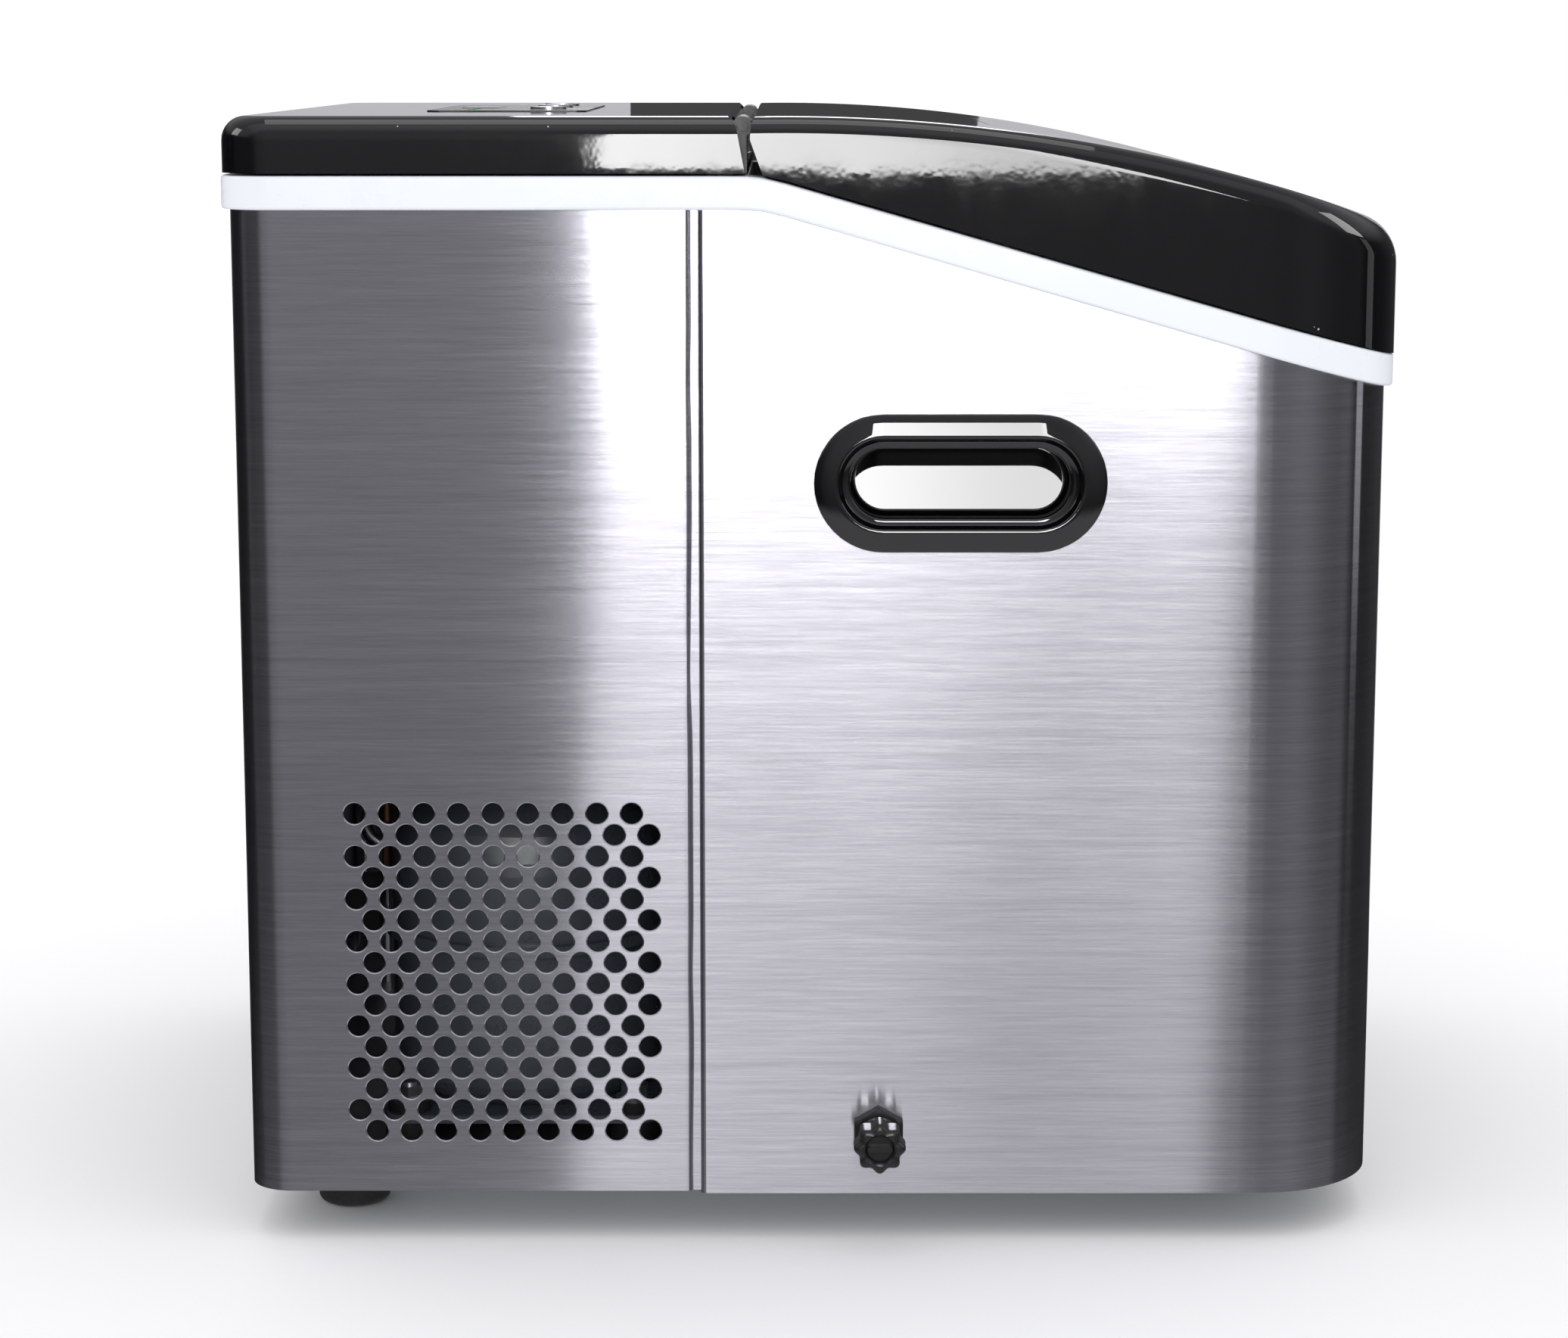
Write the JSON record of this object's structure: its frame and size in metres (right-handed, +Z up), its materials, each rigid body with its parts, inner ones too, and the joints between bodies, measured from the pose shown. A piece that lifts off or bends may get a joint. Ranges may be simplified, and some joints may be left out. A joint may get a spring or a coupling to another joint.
{
  "type": "countertop ice maker",
  "caption": "Steel-sided countertop ice maker with hinged black lid over an ice bin, recessed side grips, side vents, drain cap and a compressor compartment behind.",
  "frame": {"origin": "on the floor plane under the middle of the whole envelope, the drain cap included", "axes": "+Z up, front (lid side) towards -Y, rear panel towards +Y, +X is the machine's left seen from the front, -X the side with the drain"},
  "size_m": [0.3782, 0.4232, 0.4064],
  "materials": {
    "brushed_steel": "fine horizontal grain",
    "galvanised_steel": "dull zinc",
    "zinc_hardware": "zinc plated",
    "white_plastic": "satin gloss",
    "black_gloss": "piano gloss",
    "black_plastic": "fine texture",
    "dark_panel": "printed overlay",
    "display_glass": "dark clear",
    "indicator_lens": "clear",
    "button_plastic": "satin silver",
    "circuit_board": "solder mask",
    "smoked_window": "smoked acrylic",
    "liner_plastic": "satin",
    "clear_plastic": "frosted clear",
    "foam": "polyurethane foam",
    "rubber": "moulded",
    "grey_rubber": "moulded",
    "silicone_hose": "translucent silicone",
    "nickel_plate": "nickel plated copper",
    "compressor_black": "semi-gloss enamel",
    "aluminium_fin": "mill finish",
    "copper": "drawn tube",
    "brass": "turned",
    "motor_steel": "satin",
    "fan_plastic": "moulded"
  },
  "bodies": {
    "cabinet": {"base_pan": "galvanised_steel", "feet": "rubber", "foot_screws": "zinc_hardware", "rear_panel": "brushed_steel", "front_panel": "brushed_steel", "panel_screws": "zinc_hardware", "trim_frame": "white_plastic", "rear_cover": "black_gloss", "control_panel": "dark_panel", "display_lens": "display_glass", "indicator_lenses": "indicator_lens", "control_board": "circuit_board", "hinge_brackets": "black_plastic", "hinge_pins": "black_plastic", "left_handle_cup": "black_plastic", "right_handle_cup": "black_plastic", "drain_spout": "black_plastic", "drain_nut": "black_plastic", "drain_hose": "silicone_hose", "water_tub": "liner_plastic", "foam_jacket": "foam", "divider_plate": "galvanised_steel", "ice_chute": "liner_plastic", "machine_frame": "liner_plastic", "machine_screws": "zinc_hardware", "tray_motor": "motor_steel", "evaporator": "nickel_plate", "evaporator_bracket": "liner_plastic", "water_pump": "black_plastic", "pump_hose": "silicone_hose", "float_stem": "liner_plastic", "ice_sensors": "black_plastic", "compressor": "compressor_black", "compressor_grommets": "rubber", "compressor_bolts": "zinc_hardware", "condenser": "aluminium_fin", "fan_shroud": "fan_plastic", "fan_motor": "motor_steel", "filter_drier": "copper", "hot_gas_valve": "brass", "discharge_tube": "copper", "liquid_tube": "copper", "suction_tube": "copper", "power_inlet": "black_plastic", "power_board": "circuit_board"},
    "lid": {"lid": "black_gloss", "lid_window": "smoked_window", "lid_liner": "liner_plastic", "lid_bumpers": "grey_rubber"},
    "power_button": {"power_button": "button_plastic"},
    "size_button": {"size_button": "button_plastic"},
    "clean_button": {"clean_button": "button_plastic"},
    "drain_seal": {"drain_seal": "grey_rubber"},
    "drain_cap": {"drain_cap": "black_plastic"},
    "ice_basket": {"ice_basket": "clear_plastic"},
    "water_tray": {"water_tray": "clear_plastic"},
    "ice_shovel": {"ice_shovel": "liner_plastic"},
    "level_float": {"level_float": "liner_plastic"},
    "fan_blades": {"fan_blades": "fan_plastic"}
  },
  "joints": [
    {"name": "lid_hinge", "type": "hinge", "parent": "cabinet", "child": "lid", "pos_m": [0.00975, 0.0287, 0.401], "axis": [-1, 0, 0], "range_deg": [0, 90]},
    {"name": "power_press", "type": "slide", "parent": "cabinet", "child": "power_button", "axis": [0, 0, -1], "range_m": [0, 0.001], "stiffness_N_per_m": 400, "springref_m": -0.0005},
    {"name": "size_press", "type": "slide", "parent": "cabinet", "child": "size_button", "axis": [0, 0, -1], "range_m": [0, 0.001], "stiffness_N_per_m": 400, "springref_m": -0.0005},
    {"name": "clean_press", "type": "slide", "parent": "cabinet", "child": "clean_button", "axis": [0, 0, -1], "range_m": [0, 0.001], "stiffness_N_per_m": 400, "springref_m": -0.0005},
    {"name": "drain_cap_travel", "type": "slide", "parent": "cabinet", "child": "drain_seal", "axis": [-1, 0, 0], "range_m": [0, 0.012]},
    {"name": "drain_cap_turn", "type": "hinge", "parent": "drain_seal", "child": "drain_cap", "pos_m": [-0.18025, -0.0203, 0.0403], "axis": [-1, 0, 0], "range_deg": [0, 1440]},
    {"name": "basket_lift", "type": "slide", "parent": "cabinet", "child": "ice_basket", "axis": [0, 0, 1], "range_m": [0, 0.07]},
    {"name": "tray_tilt", "type": "hinge", "parent": "cabinet", "child": "water_tray", "pos_m": [0.00975, -0.008, 0.345], "axis": [-1, 0, 0], "range_deg": [0, 110]},
    {"name": "shovel_sweep", "type": "hinge", "parent": "cabinet", "child": "ice_shovel", "pos_m": [0.00975, 0.019, 0.302], "axis": [-1, 0, 0], "range_deg": [0, 55]},
    {"name": "float_rise", "type": "slide", "parent": "cabinet", "child": "level_float", "axis": [0, 0, 1], "range_m": [0, 0.03]},
    {"name": "fan_spin", "type": "hinge", "parent": "cabinet", "child": "fan_blades", "pos_m": [0.10175, 0.125, 0.112], "axis": [1, 0, 0], "continuous": true}
  ],
  "couplings": [
    {"joint": "drain_cap_turn", "follows": "drain_cap_travel", "rad_per_m": 2094.4},
    {"joint": "shovel_sweep", "follows": "tray_tilt", "ratio": 0.5}
  ]
}
